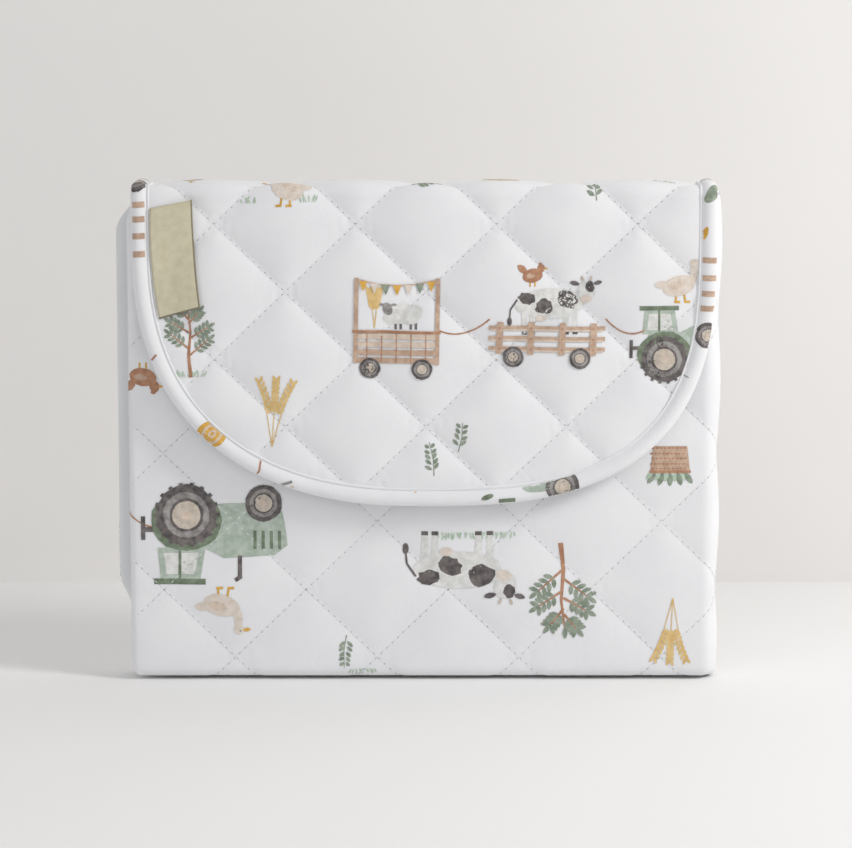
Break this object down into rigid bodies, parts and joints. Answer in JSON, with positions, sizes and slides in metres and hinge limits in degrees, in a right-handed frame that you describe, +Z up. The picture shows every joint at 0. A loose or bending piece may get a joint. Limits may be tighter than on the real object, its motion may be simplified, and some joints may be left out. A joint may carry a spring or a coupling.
{
  "type": "changing pad",
  "caption": "Quilted travel changing pad folded into a flat packet that stands on its folds, closed by a rounded bound flap with a woven side label.",
  "frame": {"origin": "on the floor, at the middle of the closed pad's whole width and depth", "axes": "+X to the pad's right as seen from the front, +Y to its back, +Z up"},
  "size_m": [0.3, 0.0358, 0.2529],
  "materials": {
    "printed_cotton": "matt quilted cotton with a small printed farm pattern",
    "binding_cotton": "matt printed cotton, folded over the flap's edge",
    "polyester_wadding": "soft fibre filling",
    "coated_lining": "smooth wipe-clean coated cloth with a low sheen",
    "woven_khaki": "matt woven tape",
    "hook_and_loop": "matt hook and loop tape"
  },
  "bodies": {
    "back_half": {"back_cover": "printed_cotton", "back_wadding": "polyester_wadding", "back_lining": "coated_lining"},
    "front_half": {"front_cover": "printed_cotton", "front_wadding": "polyester_wadding", "front_lining": "coated_lining", "loop_tape": "hook_and_loop"},
    "flap_spine": {"flap_spine_cover": "printed_cotton", "flap_spine_wadding": "polyester_wadding", "flap_spine_lining": "coated_lining", "flap_spine_binding_left": "binding_cotton", "flap_spine_binding_right": "binding_cotton"},
    "flap": {"flap_cover": "printed_cotton", "flap_wadding": "polyester_wadding", "flap_lining": "coated_lining", "flap_binding": "binding_cotton", "hook_tape": "hook_and_loop"},
    "label": {"woven_label": "woven_khaki"}
  },
  "joints": [
    {"name": "flap_top_fold", "type": "hinge", "parent": "back_half", "child": "flap_spine", "pos_m": [0, 0.01085, 0.2459], "axis": [-1, 0, 0], "range_deg": [0, 90]},
    {"name": "flap_front_fold", "type": "hinge", "parent": "flap_spine", "child": "flap", "pos_m": [0, -0.01065, 0.2459], "axis": [-1, 0, 0], "range_deg": [0, 90]},
    {"name": "side_fold", "type": "hinge", "parent": "back_half", "child": "front_half", "pos_m": [0.15015, 0.0046, 0], "axis": [0, 0, 1], "range_deg": [0, 180], "deforming": ["flap_cover", "flap_wadding", "flap_lining", "flap_binding", "hook_tape", "woven_label"]},
    {"name": "label_fold", "type": "hinge", "parent": "flap", "child": "label", "pos_m": [-0.1316, -0.01785, 0.2394], "axis": [0.1045, 0, -0.9945], "range_deg": [0, 150]}
  ],
  "couplings": [
    {"joint": "flap_front_fold", "follows": "flap_top_fold", "ratio": 1}
  ]
}
